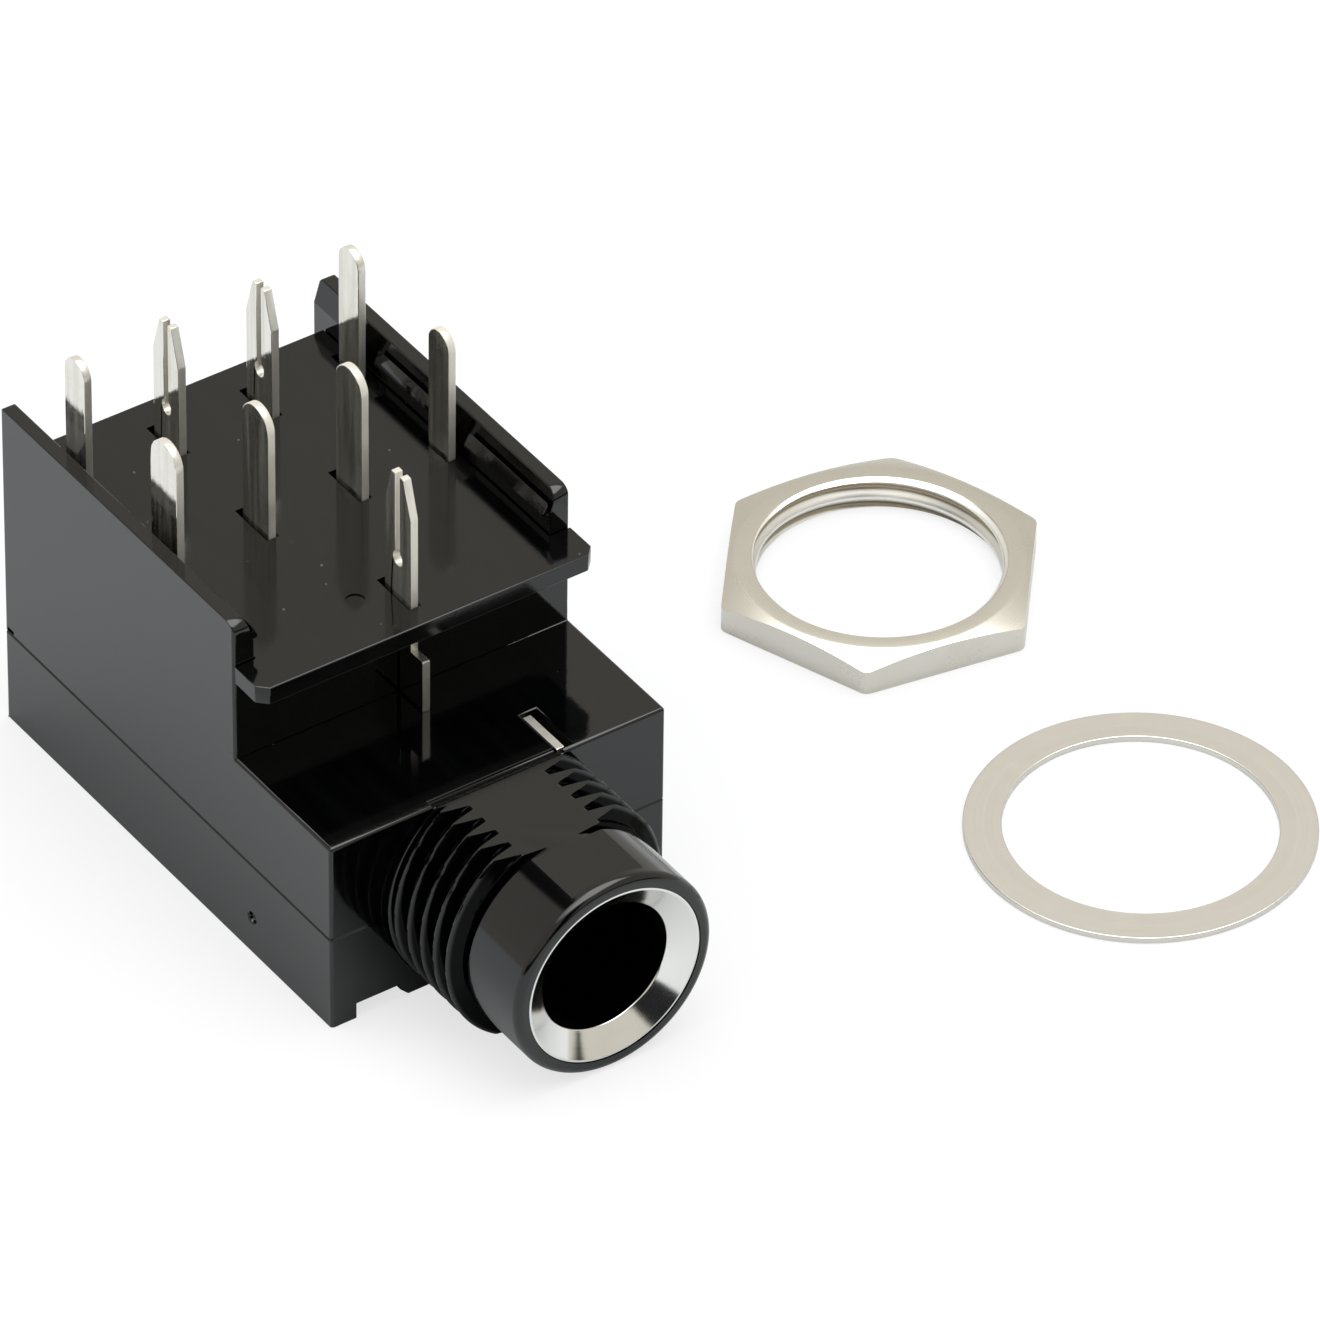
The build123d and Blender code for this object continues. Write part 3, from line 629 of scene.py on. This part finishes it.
def makeWasher():
    w = washer
    middle = (w["x"], w["y"], 0)
    top = w["table"] + w["thickness"]
    turns = [math.radians(90 * n / w["roundSteps"]) for n in range(w["roundSteps"] + 1)]
    rings = [(w["inner"], w["table"])]
    for turn in turns:
        radius = w["inner"] + w["round"] * (1 - math.cos(turn))
        rings.append((radius, top - w["round"] * (1 - math.sin(turn))))
    # close rings keep the flat between the rounded edges flat
    rings += [(w["inner"] + w["round"] + w["beside"], top), (w["outer"] - w["round"] - w["beside"], top)]
    for turn in turns:
        radius = w["outer"] - w["round"] * (1 - math.sin(turn))
        rings.append((radius, top - w["round"] * (1 - math.cos(turn))))
    rings += [(w["outer"], w["table"] + w["underEdge"]), (w["outer"] - w["underEdge"], w["table"])]
    mesh = ringSolid(rings, w["steps"], middle, "z")
    smoothByAngle(mesh, 32)
    piece = addPiece("flatWasher", mesh, turnedFinish("washerMetal", w, middle))
    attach(piece, "root")
    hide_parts("washer")
    print("washer punched")


# beyond these places in millimetres the edges of the body show and are rounded
body = {
    "side": 7.6, "coverSide": 7.4, "rear": 26.1, "joint": 0.3, "coverTop": -0.4, "coverFloor": -4,
    "noseTop": 4.75, "plateFront": 5.5, "plateRear": 25.2,
}


def housingShows(m):
    side = abs(m.x) > body["side"] and abs(m.z) > body["joint"]
    rear = m.y > body["rear"] and m.z > body["joint"]
    return side or rear or m.z > body["noseTop"]


def coverShows(m):
    outside = abs(m.x) > body["coverSide"] or m.y > body["rear"] or m.z < body["coverFloor"]
    return outside and m.z < body["coverTop"] and m.y > -0.01


def plateShows(m):
    return abs(m.x) > body["side"] or m.y < body["plateFront"] or m.y > body["plateRear"]


def anyShows(m):
    return True


finishOf = {
    "housing": (glossyPlastic, rounding["plastic"], housingShows),
    "base_cover": (glossyPlastic, rounding["plastic"], coverShows),
    "pin_plate": (platePlastic, rounding["plastic"], plateShows),
    "tip_pusher": (palePlastic, rounding["plastic"], anyShows),
    "ring_pusher": (palePlastic, rounding["plastic"], anyShows),
}


def dressNodes():
    for node in sorted(cadNodes):
        if node in ("ferrule", "hex_nut", "washer"):
            continue
        material, width, shows = finishOf.get(node, (tinnedMetal, rounding["metal"], anyShows))
        mesh = solidOf(node, 0 if node == "housing" else None)
        markEdges(mesh, shows)
        piece = addPiece(node + "_finished", mesh, material)
        mesh.materials.append(material)  # second slot, for the rounded edges until they are sorted
        roundEdges(piece, width)
        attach(piece, "root")
        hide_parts(node)
    print("moulded and stamped pieces dressed")


dressNodes()
makeBarrel()
makeFerrule()
makeNut()
makeWasher()


# stage: pale floor, white surroundings and soft lamps
stage = {
    "level": -5.17,  # a hair under the pieces that lie on it
    "floorSize": 3000,
    "floorColour": (0.86, 0.87, 0.88, 1),
    "floorCloud": (0.88, 0.88, 0.88, 1),
    "mirroredColour": (0.77, 0.79, 0.80, 1),
    "shadowShare": 0.3,  # shares of the real floor, with its shadow, against plain white
    "mirroredShadowShare": 1.0,
}


def floorFinish():
    finish = newFinish("paleFloor")
    cloud = finish.noise(finish.place(), 0.02)
    camera, glossy, glass = finish.rays()
    colour = finish.blend(cloud, stage["floorColour"], stage["floorCloud"])
    colour = finish.blend(glossy, colour, stage["mirroredColour"])
    white = finish.node("Emission", sockets={"Color": (1, 1, 1, 1), "Strength": 1.0})
    share = camera * (1 - stage["shadowShare"]) + (glossy + glass) * (1 - stage["mirroredShadowShare"])
    return finish.closed(finish.mixed(share, finish.matt(colour), white))


def makeFloor():
    half = stage["floorSize"] * mm / 2
    level = stage["level"] * mm
    corners = [(-half, -half, level), (half, -half, level), (half, half, level), (-half, half, level)]
    mesh = bpy.data.meshes.new("floor")
    mesh.from_pydata(corners, [], [(0, 1, 2, 3)])
    floor = bpy.data.objects.new("floor", mesh)
    collection.objects.link(floor)
    mesh.materials.append(floorFinish())


studio = {
    "diffuseLight": (0.75, 0.75, 0.75, 1),
    # what shiny pieces mirror: a warm dim room, a light ceiling, a dark front and a dark stand
    "room": (0.79, 0.765, 0.69, 1),
    "ceiling": (2.6, 2.6, 2.55, 1),
    "ceilingEdge": (0.79, 0.87),
    "dark": (0.02, 0.02, 0.022, 1),
    "frontAim": (-0.242, -0.97, 0.0),
    "frontAcross": (0.97, -0.242, 0.0),
    "frontEdge": (0.3, 0.4),
    "columnSide": (0.16, 0.22),
    "columnTop": (0.72, 0.82),
    "lowTop": (0.13, 0.18),
    "standAim": (-0.209, 0.637, 0.742),
    "standEdge": (0.989, 0.996),
}


def makeWorld():
    w = studio
    world = bpy.data.worlds.new("studio")
    room = Finish(world)
    camera, glossy, glass = room.rays()
    towards = room.node("TexCoord", output="Generated")

    def along(aim):
        sockets = {0: towards, 1: Vector(aim).normalized()}
        return room.node("VectorMath", {"operation": "DOT_PRODUCT"}, sockets, output="Value")

    height = along((0, 0, 1))
    ahead = along(w["frontAim"]).above(*w["frontEdge"])
    column = 1 - along(w["frontAcross"]).size().above(*w["columnSide"])
    column = column * (1 - height.above(*w["columnTop"]))
    low = 1 - height.above(*w["lowTop"])
    stand = along(w["standAim"]).above(*w["standEdge"])
    shade = ahead.smaller(column + low).larger(stand)
    seen = room.blend(height.above(*w["ceilingEdge"]), w["room"], w["ceiling"])
    seen = room.blend(shade, seen, w["dark"])
    plain = room.blend(camera, w["diffuseLight"], (1, 1, 1, 1))
    colour = room.blend(glossy + glass, plain, seen)
    back = room.node("Background", sockets={"Color": colour, "Strength": 1.0})
    room.node("OutputWorld", sockets={"Surface": back})
    bpy.context.scene.world = world


lamps = {
    "topLamp": {"at": (60, -40, 420), "size": 420, "power": 1.3, "mirrored": True},
    "rearLamp": {"at": (-260, 260, 260), "size": 300, "power": 0.45, "mirrored": False},
}


def makeLamps():
    middle = Vector((5, 10, 0)) * mm
    for name, lamp in lamps.items():
        light = bpy.data.lights.new(name, "AREA")
        light.shape = "SQUARE"
        light.size = lamp["size"] * mm
        light.energy = lamp["power"]
        holder = bpy.data.objects.new(name, light)
        holder.location = Vector(lamp["at"]) * mm
        holder.rotation_euler = (middle - holder.location).to_track_quat("-Z", "Y").to_euler()
        holder.visible_glossy = lamp["mirrored"]
        collection.objects.link(holder)


cameraView = {
    "place": (-275.124, -403.957, 403.718),
    "angles": (51.2593, -0.5588, -34.6228),
    "lens": 395.7,
    "sensor": 36,
    "nearest": 0.01,
    "farthest": 20,
}


def makeCamera():
    c = cameraView
    data = bpy.data.cameras.new("photoCamera")
    data.lens = c["lens"]
    data.sensor_width = c["sensor"]
    data.clip_start = c["nearest"]
    data.clip_end = c["farthest"]
    camera = bpy.data.objects.new("photoCamera", data)
    camera.location = Vector(c["place"]) * mm
    camera.rotation_euler = [math.radians(angle) for angle in c["angles"]]
    collection.objects.link(camera)
    bpy.context.scene.camera = camera


makeFloor()
makeWorld()
makeLamps()
makeCamera()
bpy.context.scene.view_settings.view_transform = "Standard"
print("stage set")
